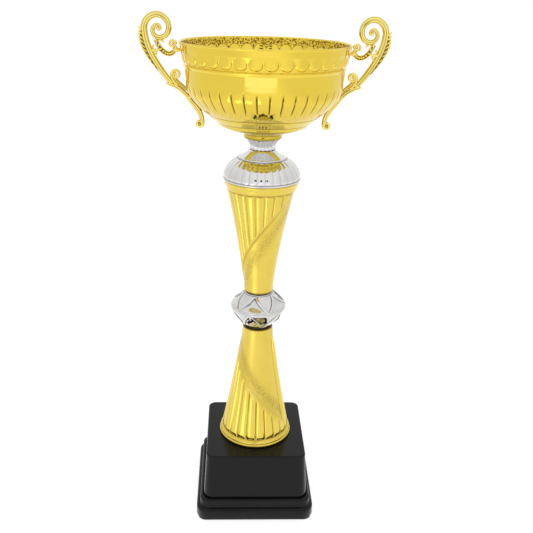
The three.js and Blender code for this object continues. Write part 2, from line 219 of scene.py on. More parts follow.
def crowded_angles(cells, per_cell, phase_deg, crowding):
    """Angles that crowd towards the edge between cells, where the cells are centred on phase_deg."""
    t = (np.arange(per_cell) + 0.5) / per_cell * 2.0 - 1.0
    inside = np.sign(t) * (1.0 - (1.0 - np.abs(t)) ** crowding)
    start = np.arange(cells)[:, None] * 2.0
    return ((start + inside[None, :]) * math.pi / cells).ravel() + math.radians(phase_deg)


def spread_out(profile, angles):
    """phi, radius and height at every point of a turned surface."""
    count = len(angles)
    phi = np.tile(angles, (len(profile), 1))
    return phi, np.repeat(profile[:, :1], count, axis=1), np.repeat(profile[:, 1:], count, axis=1)


def store(piece, name, values):
    """Stores a number for each point of a piece, for its material to read."""
    attribute = piece.data.attributes.new(name, "FLOAT", "POINT")
    attribute.data.foreach_set("value", np.asarray(values, np.float32).ravel())


# ---- materials


def add_node(tree, kind, output, inputs, **settings):
    """Adds a node and returns its named output.

    settings are its properties. inputs maps a socket's name or number to another node's output or a value."""
    node = tree.nodes.new("ShaderNode" + kind)
    for name, value in settings.items():
        setattr(node, name, value)
    for socket, value in inputs.items():
        feed(tree, node.inputs[socket], value)
    return node.outputs[output]


def feed(tree, socket, value):
    """Gives a socket its value: another node's output, a number, a vector or a colour."""
    if isinstance(value, bpy.types.NodeSocket):
        tree.links.new(value, socket)
    elif socket.type == "RGBA":
        socket.default_value = (*value, 1)
    else:
        socket.default_value = value


def new_material(name):
    """A material and its node tree."""
    material = bpy.data.materials.new(name)
    material.use_nodes = True
    return material, material.node_tree


def set_shader(tree, inputs):
    """Sets the inputs of the material's surface shader."""
    for name, value in inputs.items():
        feed(tree, tree.nodes["Principled BSDF"].inputs[name], value)


def calculate(tree, operation, *values):
    """The result of a sum on numbers or other nodes' outputs."""
    return add_node(tree, "Math", "Value", dict(enumerate(values)), operation=operation)


def place_on(tree):
    """Where a point lies on the object, in metres."""
    return add_node(tree, "TexCoord", "Object", {})


def noise(tree, place, scale, detail=3.0):
    """Smooth noise whose size goes down as scale goes up."""
    return add_node(tree, "TexNoise", "Fac", {"Vector": place, "Scale": scale, "Detail": detail})


def remap(tree, source, before, after):
    """source, moved from the range before to the range after and kept inside it."""
    inputs = {"Value": source, "From Min": before[0], "From Max": before[1]}
    return add_node(tree, "MapRange", "Result", {**inputs, "To Min": after[0], "To Max": after[1]})


def bump(tree, height, distance, strength, below=None):
    """A surface normal that follows height, added to the bump below if there is one."""
    inputs = {"Height": height, "Distance": distance, "Strength": strength}
    if below is not None:
        inputs["Normal"] = below
    return add_node(tree, "Bump", "Normal", inputs)


def mix(tree, factor, first, second):
    """A colour from first to second, as factor goes from 0 to 1."""
    return add_node(tree, "Mix", "Result", {"Factor": factor, "A": first, "B": second}, data_type="RGBA")


def attribute(tree, name):
    """The number that the mesh stores under name."""
    return add_node(tree, "Attribute", "Fac", {}, attribute_name=name)


def with_painted_shade(tree, colour, speck_and_shade_colour):
    """colour, with painted shade: darkened towards the dark tint where the mesh's painted-shade attribute
    marks grooves, seams, recesses and edges that lie in shade or reflect something dark.
    """
    return mix(tree, attribute(tree, "painted_shade"), colour, speck_and_shade_colour)


FINE_GRAIN = (2600, 0.00002, 0.15)
BROAD_WAVE = (28, 0.0006, 0.25)


def metal(name, colour, dull_colour, speck_and_shade_colour, roughness, grain=FINE_GRAIN, wave=BROAD_WAVE, coat=0.0):
    """Plated metal: slightly uneven tint and gloss, a fine grain, a broad waviness, and dark shade painted
    into its grooves and seams.

    grain and wave are each a noise scale, a depth in metres and a strength. The attribute rippled
    marks where the metal is uneven and pitted."""
    material, tree = new_material(name)
    place = place_on(tree)
    patch = noise(tree, place, 45)
    ripple = noise(tree, place, 620, 1.0)
    rippled = attribute(tree, "rippled")
    pits = calculate(tree, "MULTIPLY", remap(tree, ripple, (0.50, 0.60), (0.0, 0.95)), rippled)
    pitted = mix(tree, pits, mix(tree, patch, colour, dull_colour), speck_and_shade_colour)
    waves = bump(tree, noise(tree, place, wave[0], 2.0), wave[1], wave[2])
    ripples = bump(tree, calculate(tree, "MULTIPLY", ripple, rippled), 0.0006, 1.0, waves)
    set_shader(tree, {
        "Base Color": with_painted_shade(tree, pitted, speck_and_shade_colour),
        "Roughness": remap(tree, patch, (0.3, 0.7), roughness),
        "Normal": bump(tree, noise(tree, place, grain[0], 2.0), grain[1], grain[2], ripples),
        "Metallic": 1.0,
        "Coat Weight": coat,
        "Coat Roughness": 0.03,
    })
    return material


GOLD_BRIGHT, GOLD_DEEP = (0.87, 0.66, 0.085), (0.84, 0.605, 0.058)
CAST_BRIGHT, CAST_DEEP = (0.92, 0.76, 0.19), (0.88, 0.71, 0.15)
SATIN_BRIGHT, SATIN_DEEP = (0.80, 0.62, 0.105), (0.74, 0.555, 0.080)
SILVER_BRIGHT, SILVER_DEEP = (0.77, 0.765, 0.75), (0.69, 0.685, 0.67)
ZINC_BRIGHT, ZINC_DEEP = (0.60, 0.61, 0.60), (0.42, 0.42, 0.40)
# Dark tints for the random pits and speckles, and for the shade painted into grooves, seams and recesses
GOLD_SPECK_AND_SHADE = (0.13, 0.075, 0.008)
SILVER_SPECK_AND_SHADE = (0.05, 0.05, 0.048)
CAST_GRAIN = (1800, 0.00003, 0.3)
ZINC_GRAIN = (1500, 0.00006, 0.5)
SILVER_WAVE = (40, 0.0003, 0.2)


def satin_gold_material():
    """Satin plated moulding, with two attributes of its own, and shade painted in where the mesh marks it.

    sparkle marks where the surface is blasted rough, and polish where it is smoother than the rest."""
    material, tree = new_material("satin_gold")
    place = place_on(tree)
    patch = noise(tree, place, 60)
    sparkle = attribute(tree, "sparkle")
    speckle = remap(tree, noise(tree, place, 1900, 1.0), (0.48, 0.62), (0.0, 0.85))
    dots = calculate(tree, "MULTIPLY", speckle, sparkle)
    speckled = mix(tree, dots, mix(tree, patch, SATIN_BRIGHT, SATIN_DEEP), GOLD_SPECK_AND_SHADE)
    gloss = remap(tree, patch, (0.3, 0.7), (0.28, 0.36))
    pits = add_node(tree, "TexVoronoi", "Distance", {"Vector": place, "Scale": 1500})
    blasted = bump(tree, calculate(tree, "MULTIPLY", pits, sparkle), 0.00022, 0.9)
    set_shader(tree, {
        "Base Color": with_painted_shade(tree, speckled, GOLD_SPECK_AND_SHADE),
        "Roughness": calculate(tree, "MULTIPLY_ADD", attribute(tree, "polish"), -0.19, gloss),
        "Normal": bump(tree, noise(tree, place, 2600, 2.0), 0.00003, 0.4, blasted),
        "Metallic": 1.0,
        "Coat Weight": 0.3,
        "Coat Roughness": 0.08,
    })
    return material


def black_plastic_material():
    """Gloss black moulding with a faint grain."""
    material, tree = new_material("black_plastic")
    place = place_on(tree)
    patch = noise(tree, place, 30)
    set_shader(tree, {
        "Base Color": mix(tree, patch, (0.005, 0.005, 0.005), (0.008, 0.008, 0.008)),
        "Roughness": remap(tree, patch, (0.3, 0.7), (0.09, 0.15)),
        "Normal": bump(tree, noise(tree, place, 1400, 2.0), 0.00002, 0.35),
        "Specular IOR Level": 0.18,
    })
    return material


def rough_material(name, first, second, scale, depth):
    """Felt or cement: mottled, matt and uneven."""
    material, tree = new_material(name)
    mottle = noise(tree, place_on(tree), scale, 6.0)
    colour = mix(tree, mottle, first, second)
    set_shader(tree, {"Base Color": colour, "Normal": bump(tree, mottle, depth, 0.8), "Roughness": 0.95})
    return material


mirror_gold = metal("mirror_gold", GOLD_BRIGHT, GOLD_DEEP, GOLD_SPECK_AND_SHADE, (0.045, 0.09), coat=0.15)
cast_gold = metal("cast_gold", CAST_BRIGHT, CAST_DEEP, GOLD_SPECK_AND_SHADE, (0.12, 0.2), grain=CAST_GRAIN, coat=0.8)
silver = metal("silver", SILVER_BRIGHT, SILVER_DEEP, SILVER_SPECK_AND_SHADE, (0.03, 0.07), wave=SILVER_WAVE)
zinc_steel = metal("zinc_steel", ZINC_BRIGHT, ZINC_DEEP, SILVER_SPECK_AND_SHADE, (0.25, 0.42), grain=ZINC_GRAIN)
satin_gold = satin_gold_material()
black_plastic = black_plastic_material()
felt = rough_material("felt", (0.010, 0.010, 0.011), (0.025, 0.025, 0.026), 900, 0.0003)
cement = rough_material("cement", (0.33, 0.32, 0.30), (0.52, 0.50, 0.47), 220, 0.0006)


def shown(piece, slot, *nodes):
    """Attaches a finished piece to the trophy's one body and hides the CAD nodes it stands for. slot, its
    material slot, is not used.
    """
    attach(piece, "root")
    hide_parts(*nodes)


# ---- bowl

OVALS = 36
FLUTES = 40
BOWL_COLUMNS = 1080
BOWL_WALL = 0.9
OVAL_PHASE = -8.4
CREASE_PHASE = -7.4

# Heights over the bowl's bottom
OVAL_LOW, OVAL_HIGH = 63.7, 74.8
FLUTE_TOP, FLUTE_CUSP, FLUTE_LOW = 45.6, 25.9, 19.9
WIDE_RING = 7.2

# Each ring turned into the bowl's foot: height over the bottom, width and depth
BOWL_RINGS = (
    (16.6, 0.6, -0.5),
    (9.7, 0.5, -0.5),
    (WIDE_RING, 0.7, 0.8),
    (5.2, 0.4, -0.4),
    (3.2, 0.5, -0.4),
    (1.7, 0.4, -0.4),
)


def bowl_outline(low):
    """Outer line of the bowl from the hole in its bottom to the rim."""
    base = straight(raised(low, [BORE, 0], [19.0, 0]), 2.0)
    under_points = raised(low, [19.0, 0], [24.0, 0.1], [28.2, 1.0], [37.0, 3.9], [44.6, 8.4])
    side_points = [[44.6, 8.4], [53.2, 15.6], [62.2, 23.3], [68.6, 30.6], [72.4, 36.4]]
    side_points += [[74.0, 42.0], [74.8, 50.0], [75.4, 59.4]]
    bead_points = raised(low, [75.4, 59.4], [76.3, 60.7], [76.5, 61.8], [75.4, 63.0])
    flare_points = raised(low, [75.4, 63.0], [76.2, 66.5], [77.6, 70.4], [79.2, 75.0])
    under = curve(under_points, 0.6)
    side = curve(raised(low, *side_points), 0.45)
    bead = curve(bead_points, 0.35)
    flare = curve(flare_points, 0.35)
    wall = straight(raised(low, [79.2, 75.0], [79.9, 80.6]), 0.45)
    return joined(base, under, side, bead, flare, wall)


def oval_relief(phi, height):
    """Pressed-out ovals, crisp at their lower ends and sunk into the wall at their tops.

    Returns the push; the painted shade along each oval's outline, heaviest on its +X side; the dark arch of
    painted shade over each oval that shows inside the bowl; and how far the wall lies between the ovals."""
    middle, half = (OVAL_LOW + OVAL_HIGH) / 2, (OVAL_HIGH - OVAL_LOW) / 2
    across = cell(phi, OVALS, OVAL_PHASE)
    along = (height - middle) / half
    distance = (np.abs(across / 0.90) ** 2.2 + np.abs(along) ** 2.2) ** (1 / 2.2)
    inside = np.clip(1.0 - distance, 0.0, 1.0)
    dome = 1.0 - (1.0 - inside) ** 3.4
    swell_at = [OVAL_LOW, OVAL_LOW + 3.0, OVAL_HIGH - 4.0, OVAL_HIGH]
    swell = np.interp(height, swell_at, [1.6, 1.8, 0.8, 0.2])
    outline = fading(np.abs(distance - 1.01), 0.06)
    lower_outline = outline * np.interp(along, [-1.1, -0.7, 0.0, 0.3, 0.6], [0.4, 0.6, 1.0, 0.5, 0.0])
    arch = outline * np.interp(along, [-0.2, 0.3, 0.6], [0.0, 0.6, 1.0])
    between = smoothstep(0.98, 1.06, distance)
    # Painted shade: each outline is darkest on the side that faces away from a viewer in front or behind
    towards_x = smoothstep(-0.15, 0.75, np.cos(phi) * np.sign(across))
    return dome * swell - lower_outline * 0.4, lower_outline * (0.2 + 0.8 * towards_x), arch, between


def flute_relief(phi, height):
    """Pressed-in flutes, each starting as a fine V-groove and ending in a rounded cup, and their dark lines
    of painted shade.
    """
    across = np.abs(cell(phi, FLUTES, CREASE_PHASE))
    drop = np.clip((FLUTE_TOP - height) / (FLUTE_TOP - FLUTE_CUSP), 0.0, 1.0)
    below = np.clip((FLUTE_CUSP - height) / (FLUTE_CUSP - FLUTE_LOW), 0.0, 1.2)
    cup = np.sqrt(np.clip(1.0 - below**2, 0.0, 1.0))
    width = np.maximum((0.12 + 0.88 * drop**0.8) * cup, 1e-3)
    inside = fading(across, width)
    depth = np.interp(drop, [0.0, 0.08, 0.3, 0.7, 1.0], [0.0, 0.3, 0.6, 0.42, 0.0])
    channel = np.where(inside > 0, 0.3 * np.clip(inside * 8, 0, 1) + 0.7 * inside**1.6, 0.0) * depth
    line = fading(across, 0.09 + 0.08 * np.abs(np.cos(phi)))
    line_at = [FLUTE_CUSP - 2.5, FLUTE_CUSP + 1.5, FLUTE_TOP - 5, FLUTE_TOP]
    line_depth = np.interp(height, line_at, [0.0, 0.75, 0.6, 0.0])
    line_painted_shade = np.interp(height, line_at, [0.0, 1.0, 1.0, 0.0])
    # Painted shade along each flute's line, and painted dark reflections round the cups' ends, heaviest at
    # the bowl's left and right edges
    edge = np.sqrt(across**2 + below**2)
    sideways = smoothstep(0.90, 0.985, np.abs(np.sin(phi)))
    cup_edge = fading(np.abs(edge - 1.0), 0.11 + 0.13 * sideways) * (below > 0.05)
    dark = np.maximum(line**0.5 * line_painted_shade, cup_edge * (0.4 + 0.6 * sideways))
    return -(channel + line * line_depth), dark


def ring_relief(phi, r, height):
    """Turned rings round the foot of the bowl, with painted shade in the sunk rings, painted shade that
    deepens towards the bottom of the bowl, and a painted dark reflection on the widest ring where it faces
    left and right.
    """
    push = 0.0 * height
    dark = 0.0 * height
    for centre, size, depth in BOWL_RINGS:
        ring = bell(height, centre, size) * (r < 60) * (r > 24)
        push = push + depth * ring
        dark = np.maximum(dark, ring**2 * (depth < 0) * 0.8)
    painted_low_shade = 0.14 * smoothstep(48.0, 24.0, height) * (r > 20.0)
    sideways = smoothstep(0.975, 0.985, np.abs(np.sin(phi)))
    wide_ring = smoothstep(1.0, 0.7, np.abs(height - WIDE_RING)) * (r > 24)
    return push, np.maximum(np.maximum(dark, painted_low_shade), sideways * wide_ring)


def bowl_angles(height):
    """The mesh columns crowd towards the ovals' edges above and towards the flutes' creases below."""
    upper = crowded_angles(OVALS, BOWL_COLUMNS // OVALS, OVAL_PHASE, 1.35)
    lower = crowded_angles(FLUTES, BOWL_COLUMNS // FLUTES, CREASE_PHASE + 180 / FLUTES, 1.7)
    mix = smoothstep(FLUTE_TOP + 1.0, OVAL_LOW - 3.0, height)[:, None]
    return lower[None, :] * (1.0 - mix) + upper[None, :] * mix


def make_bowl():
    """The pressed bowl: outside, rolled rim, and inside, where the relief is weaker."""
    low, top = ends_of("bowl")
    rim_r = radius_of("bowl")
    outer = bowl_outline(low)
    rim = raised(top, [79.95, -1.7], [rim_r - 0.25, -1.5], [rim_r, -1.0], [rim_r, -0.5], [rim_r - 0.3, -0.1])
    rim += raised(top, [rim_r - 0.8, 0], [rim_r - 1.2, -0.15], [79.0, -0.7])
    profile = np.vstack([outer, rim, inner_line(outer, BOWL_WALL)])
    angles = bowl_angles(profile[:, 1] - low)
    phi = angles[: len(outer)]
    height = np.repeat(outer[:, 1:] - low, BOWL_COLUMNS, axis=1)
    r = np.repeat(outer[:, :1], BOWL_COLUMNS, axis=1)
    oval_push, oval_painted_shade, arch, between = oval_relief(phi, height)
    flute_push, flute_painted_shade = flute_relief(phi, height)
    ring_push, ring_painted_shade = ring_relief(phi, r, height)
    push = oval_push + flute_push + ring_push
    # dark is painted shade and painted dark reflections; the inside gets a weaker share of it, plus the
    # painted dark arches
    dark = np.maximum(np.maximum(oval_painted_shade, flute_painted_shade), ring_painted_shade)
    inner_painted_shade = np.maximum(0.3 * dark, 0.85 * arch)
    rippled = between * smoothstep(64.0, 67.0, height)
    rim_rows = np.zeros((len(rim), BOWL_COLUMNS))
    push = np.vstack([push, rim_rows, -0.6 * push[::-1]])
    angles = np.vstack([angles[: len(outer) + len(rim)], phi[::-1]])
    piece = turned("bowl_shell", profile, angles, mirror_gold, push, sharp_deg=80)
    store(piece, "rippled", np.vstack([0 * dark, rim_rows, rippled[::-1]]))
    store(piece, "painted_shade", np.vstack([dark, rim_rows, inner_painted_shade[::-1]]))
    shown(piece, "mirror_gold", "bowl")


# ---- columns

RIBS = 21
SKIN_START = -122.0  # angle, in degrees, at which each column's slanting edge starts


def rib_shape(phi, phase_deg, crest, valley_shade):
    """Rounded ribs with narrow grooves between them, and the shade painted into the grooves."""
    x = np.abs(cell(phi, RIBS, phase_deg))
    return valley_shade + (crest - valley_shade) * (1.0 - (1.0 - x) ** 3.0), fading(x, 0.16)


def make_column(name, node, profile, relief, low, mark):
    """A column's skin. relief gives its push, sparkle, painted shade and polish."""
    angles = even_angles(RIBS * 24)
    push, sparkle, dark, polish = relief(*spread_out(profile, angles), low, mark)
    piece = turned(name, profile, angles, satin_gold, push, sharp_deg=60)
    store(piece, "sparkle", sparkle)
    store(piece, "painted_shade", dark)
    store(piece, "polish", polish)
    shown(piece, "satin_gold", node)


def lower_column_relief(phi, r, z, low, top):
    """A plain slanting band over ribs that run down to the foot ring."""
    height = z - low
    outside = (height > 8.2) & (r > 15.0)
    angle = wrapped(phi, SKIN_START)
    tips = 55.2 - 0.565 * angle
    second = 55.2 - 0.565 * (angle - 186.0)
    above = height - np.maximum(tips, np.where(angle > 62.0, second, -50.0))
    sparkle = bell(above, 14.0, 9.0) * outside
    ramp = 1.0 - smoothstep(-2.0, 9.0, above)
    ribbed = 1.0 - smoothstep(-6.0, 0.5, above)
    foot = smoothstep(8.2, 11.5, height)
    ribs, groove_shade = rib_shape(phi, -0.9, 1.2, -0.7)
    seam = bell(height, 8.6, 0.7) * (r > 34)
    tip = smoothstep(-2.0, 0.5, above) * smoothstep(7.0, 2.0, above) * 0.12
    notch = groove_shade * bell(height, 11.0, 1.6)
    # dark is painted shade: in the grooves and at their lower ends, along the band's tips, at the foot seam,
    # on the top face in the ball's shadow, and as a painted dark reflection of the black base on the foot's
    # lower ring
    dark = outside * np.maximum(groove_shade * ribbed * 0.62 + notch * 0.6, tip * foot)
    dark = np.maximum(dark, seam * 0.6)
    dark = np.maximum(dark, 0.95 * (z > top - 1.5) * (r < 16.2))
    dark = np.maximum(dark, 0.4 * (height < 3.3) * (r > 37.0))
    push = outside * foot * (ramp * 0.6 + ribbed * (ribs - 0.6))
    return push, sparkle, dark, np.maximum(ribbed, height < 8.2)


def make_lower_column():
    """The column between base and ball, with its foot ring."""
    low, top = ends_of("lower_column")
    foot_r = radius_of("lower_column")
    height = top - low

    def taper(t):
        return [16.0 + 20.6 * t**1.32, top - 0.9 - (height - 9.1) * t]

    ring = raised(low, [foot_r - 1.0, 0], [foot_r - 0.2, 0.2], [foot_r, 0.8])
    ring += raised(low, [foot_r, 2.9], [foot_r - 0.5, 3.4])
    foot = curve(raised(low, [39.0, 3.9], [39.5, 4.6], [39.3, 5.8], [38.4, 7.2], [37.0, 8.0]), 0.5)
    side = curve([[36.6, low + 8.2]] + [taper(1 - k / 12) for k in range(13)], 1.0)
    lip = curve(raised(top, [16.0, -0.9], [15.7, -0.3], [15.1, 0]), 0.3)
    face = raised(top, [15.1, 0], [14.2, -0.15], [14.0, -0.9], [BORE, -0.9], [BORE, -2.4])
    inner = raised(top, [BORE, -2.4], [13.6, -3.2]) + raised(low, [22.0, 70.0], [33.0, 12.0], [35.4, 0])
    profile = joined(straight(ring, 0.6), foot, side, lip, straight(face, 1.5), straight(inner, 6.0))
    make_column("lower_column_skin", "lower_column", profile, lower_column_relief, low, top)


def upper_column_relief(phi, r, z, low, collar):
    """Ribs that run down from the collar to a plain slanting band."""
    height = z - low
    outside = (z < collar) & (r > 14.2)
    angle = wrapped(phi, SKIN_START)
    first = 75.0 + 0.61 * angle
    second = 75.0 + 0.61 * (angle - 226.0)
    below = np.where(angle > 104.0, second, first) - height
    sparkle = bell(below, 22.0, 10.0) * outside * 0.8
    ramp = 1.0 - smoothstep(0.0, 5.2, below)
    ribbed = 1.0 - smoothstep(-3.5, 1.0, below)
    ribs, groove_shade = rib_shape(phi, 4.0, 1.1, -0.45)
    ribbon = smoothstep(0.4, 1.8, below) * smoothstep(7.0, 3.0, below) * 0.32
    seam = bell(z, collar, 0.5) * (r > 20) * 0.5
    # dark is painted shade: in the grooves, along the slanting band's upper edge, at the collar seam, and at
    # the column's foot in the ball's shadow
    dark = np.maximum(outside * np.maximum(groove_shade * ribbed * 0.5, ribbon), seam)
    dark = np.maximum(dark, 0.95 * smoothstep(3.0, 1.4, height))
    push = outside * (ramp * 0.75 + ribbed * (ribs - 0.75))
    return push, sparkle, dark, np.maximum(0.45 * ribbed, 0.6 * (z > collar))


def make_upper_column():
    """The column between ball and dome, with its collar."""
    low, top = ends_of("upper_column")
    collar = top - 9.0
    collar_r = radius_of("upper_column")

    def taper(t):
        return [15.0 + 18.6 * t**1.42, low + 0.8 + (collar - low - 0.8) * t]

    bottom = curve(raised(low, [13.6, 0], [14.6, 0.2], [15.0, 0.8]), 0.3)
    side = curve([taper(k / 12) for k in range(13)], 1.0)
    step = straight(raised(collar, [33.6, 0], [34.9, 0.25]), 0.5)
    band = raised(collar, [34.9, 0.25], [35.5, 1.4], [36.8, 5.2])
    band += raised(top, [collar_r - 0.1, -0.5], [collar_r - 0.4, 0])
    inner = [[collar_r - 0.4, top], [34.0, top], [30.5, collar - 6]]
    inner += raised(low, [20.0, 45], [12.8, 2.4], [BORE, 2.4], [BORE, 0])
    floor = straight(raised(low, [BORE, 0], [13.6, 0]), 3.0)
    profile = joined(bottom, side, step, curve(band, 0.7), straight(inner, 6.0), floor)[:-1]
    make_column("upper_column_skin", "upper_column", profile, upper_column_relief, low, collar)


# ---- faceted ball

POINTS = 5
UPPER_STAR_PHASE = -14.8
LOWER_STAR_PHASE = 14.0


def star_relief(phi, r, drop, phase_deg, depth):
    """Hollow triangular facets between ridges that zigzag from the ring at the end to the girdle.

    drop runs from 0 at the end ring to 1 at the girdle. Returns the push and the painted shade: a dark line
    at the foot of each ridge and a light shade over the hollow facets."""
    fold = np.abs(cell(phi, POINTS, phase_deg))
    away = np.abs(fold - drop) * math.pi / POINTS * r
    slope = math.pi / POINTS * r / 18.0
    away = away / np.sqrt(1.0 + slope**2)
    room = smoothstep(0.0, 0.10, drop) * smoothstep(1.0, 0.95, drop)
    on_girdle = 1.5 * smoothstep(1.0, 0.5, drop)
    on_end = 0.9 * smoothstep(0.0, 0.35, drop)
    hollow = (1.0 - np.exp(-away / 2.0)) * np.where(drop > fold, on_girdle, on_end)
    ridge = smoothstep(1.35, 1.05, away)
    foot_line = bell(away, 1.35, 0.3)
    push = room * 0.45 * ridge - depth * hollow * (1.0 - ridge)
    return push, room * np.maximum(foot_line * 0.7, 0.10 * (1.0 - ridge))


def make_ball_half(name, node, profile, end_z, girdle_z, phase_deg, depth, visible):
    """One moulded half. Its first visible profile points are the outside."""
    angles = even_angles(480)
    phi, r, z = spread_out(profile, angles)
    drop = np.clip((z - end_z) / (girdle_z - end_z), 0.0, 1.0)
    outside = (r > 13.0) & (np.arange(len(profile))[:, None] < visible)
    push, dark = star_relief(phi, r, drop, phase_deg, depth)
    piece = turned(name, profile, angles, silver, push * outside, sharp_deg=35)
    # Painted shade in the seams at the end ring and at the girdle
    end_ring = np.exp(-(((drop - 0.05) / 0.035) ** 4)) * 0.9
    girdle_ring = bell(drop, 0.955, 0.012) * 0.4
    store(piece, "painted_shade", np.maximum(dark, end_ring + girdle_ring) * outside)
    shown(piece, "silver", node)


def make_upper_ball():
    """The half over the girdle, which carries the rounded edge."""
    node = "ball_upper_half"
    low, top = ends_of(node)
    girdle_r = radius_of(node)
    outer = raised(low, [girdle_r - 0.2, 0], [girdle_r, 0.8], [28.3, 2.2], [25.4, 5.8], [21.2, 10.2])
    outer += raised(low, [16.6, 14.0]) + raised(top, [15.0, -0.9])
    outer = curve(outer, 0.3)
    lip = raised(top, [15.0, -0.9], [14.8, -0.3], [14.3, 0], [13.6, -0.2], [13.4, -0.8])
    inner = raised(top, [13.4, -0.8], [BORE, -0.8], [BORE, -3.0], [11.0, -3.2], [17.5, -8.0])
    inner += raised(low, [25.0, 2.6], [26.4, 0])
    profile = joined(outer, curve(lip, 0.25), straight(inner, 2.0))
    make_ball_half("ball_upper_star", node, profile, top, low + 0.8, UPPER_STAR_PHASE, 1.7, len(outer))


def make_lower_ball():
    """The half under the girdle."""
    node = "ball_lower_half"
    low, girdle = ends_of(node)
    girdle_r = radius_of("ball_upper_half")
    lip = curve(raised(low, [13.0, 0.8], [13.2, 0.2], [13.8, 0], [14.4, 0.3], [14.6, 1.0]), 0.25)
    outer = raised(low, [14.6, 1.0], [17.2, 3.4], [20.6, 7.2], [24.2, 12.2], [27.2, 17.4])
    outer += raised(girdle, [28.6, -2.4], [girdle_r, -0.8], [girdle_r - 0.2, 0])
    outer = curve(outer, 0.3)
    inner = raised(girdle, [girdle_r - 0.2, 0], [26.4, 0], [24.4, -3.0])
    inner += raised(low, [20.0, 10.5], [12.0, 3.2], [BORE, 3.0], [BORE, 0.8], [13.0, 0.8])
    profile = joined(lip, outer, straight(inner, 2.0))[:-1]
    visible = len(lip) + len(outer)
    make_ball_half("ball_lower_star", node, profile, low, girdle - 0.8, LOWER_STAR_PHASE, 0.7, visible)


# ---- dome, neck and seat

LOBES = 30
LOBE_PHASE = 2.6


def dome_relief(phi, r, z, low):
    """Shallow lobes, with shade painted as dark lines between them and into the seams at the bead and at the
    cone.
    """
    height = z - low
    zone = smoothstep(2.4, 3.4, height) * (1.0 - smoothstep(19.6, 21.2, height)) * (r > 24.2)
    x = np.abs(cell(phi, LOBES, LOBE_PHASE))
    seams = 0.85 * bell(height, 2.2, 0.35) * (r > 36)
    seams = seams + 0.7 * bell(height, 21.3, 0.35) * (r > 20) * (r < 26)
    lines = zone * fading(x, 0.14) * 0.38
    return zone * (0.55 * (1.0 - (1.0 - x) ** 2.2) - 0.4) * (r / 38.0), np.maximum(seams, lines)


def make_dome():
    """The lobed dome, with its rim bead below and its stepped cone above."""
    low, top = ends_of("silver_dome")
    rim_r = radius_of("silver_dome")
    bead = raised(low, [rim_r - 0.9, 0], [rim_r - 0.1, 0.5], [rim_r, 1.3], [rim_r - 0.6, 2.1])
    shell = raised(low, [rim_r - 0.8, 2.3], [rim_r - 0.5, 4.4], [37.7, 7.2], [36.2, 10.6], [33.8, 14.2])
    shell += raised(low, [30.2, 17.8], [25.2, 20.9], [23.6, 21.4])
    ledge = raised(low, [23.6, 21.4], [23.5, 22.3], [23.0, 22.8], [22.0, 23.2])
    cone = raised(low, [22.0, 23.2], [17.2, 25.6]) + raised(top, [13.7, -1.2], [13.2, -0.4], [12.9, 0])
    upper_inner = raised(top, [12.9, 0], [BORE, 0], [BORE, -2], [12.0, -2.4])
    lower_inner = raised(low, [21.0, 20.6], [29.5, 15.4], [34.6, 8.0], [35.6, 0])
    curves = [curve(*part) for part in ((bead, 0.3), (shell, 0.5), (ledge, 0.3), (cone, 0.6))]
    profile = joined(*curves, straight(upper_inner + lower_inner, 5.0))
    angles = even_angles(LOBES * 16)
    push, dark = dome_relief(*spread_out(profile, angles), low)
    piece = turned("dome_lobed", profile, angles, silver, push, sharp_deg=50)
    store(piece, "painted_shade", dark)
    shown(piece, "silver", "silver_dome")


def make_neck():
    """The flared neck, with faint flats round it."""
    low, top = ends_of("silver_neck")
    outer = raised(low, [12.4, 0], [12.7, 0.4], [12.6, 1.6], [12.9, 3.2], [13.9, 5.8], [15.6, 8.4])
    outer += raised(top, [17.5, -0.5], [17.7, 0])
    inner = [[17.7, top], [BORE, top], [BORE, low], [12.4, low]]
    profile = joined(curve(outer, 0.4), straight(inner, 3.0))[:-1]
    angles = even_angles(360)
    phi, r, z = spread_out(profile, angles)
    flats = (r > 12.3) * (z < top - 0.2) * 0.3 * (np.cos(18 * phi) - 1.0)
    piece = turned("neck_flared", profile, angles, silver, flats, sharp_deg=50)
    shown(piece, "silver", "silver_neck")


def make_seat():
    """The ring under the bowl, with two turned grooves."""
    low, top = ends_of("bowl_seat")
    outer = raised(low, [17.9, 0], [18.8, 0.5], [19.0, 1.6], [18.7, 3.4])
    outer += raised(top, [18.9, -1.0], [18.6, 0])
    inner = [[18.6, top], [BORE, top], [BORE, low], [17.9, low]]
    profile = joined(curve(outer, 0.2), straight(inner, 3.0))[:-1]
    angles = even_angles(192)
    _, r, z = spread_out(profile, angles)
    grooves = (bell(z - low, 1.2, 0.4) + bell(z - low, 4.2, 0.4)) * (r > 17.0)
    piece = turned("seat_ring", profile, angles, mirror_gold, -0.35 * grooves, sharp_deg=50)
    # Painted shade: a light shade over the whole ring under the bowl, and a deeper one in its grooves
    store(piece, "painted_shade", np.maximum(0.2, 0.85 * grooves))
    shown(piece, "mirror_gold", "bowl_seat")


# ---- base

BASE_CORNER = 10.0
PLATE_CORNER = 14.5
BLOCK_CORNER = 8.0
INNER_CORNER = 7.4


def rounded_ring(half, corner, z, per_corner=10, per_side=6):
    """Points of a rounded square, anticlockwise seen from above, starting on the +X side."""
    points = []
    inner = half - corner
    for quarter in range(4):
        start = quarter * math.pi / 2
        side = np.array([math.cos(start), math.sin(start)])
        along = np.array([-math.sin(start), math.cos(start)])
        for k in range(per_side):
            points.append(side * half + along * inner * (2 * k / per_side - 1))
        centre = side * inner + along * inner
        for k in range(per_corner):
            angle = start + math.pi / 2 * k / per_corner
            points.append(centre + corner * np.array([math.cos(angle), math.sin(angle)]))
    flat = np.array(points)
    return np.column_stack([flat, np.full(len(flat), z)])


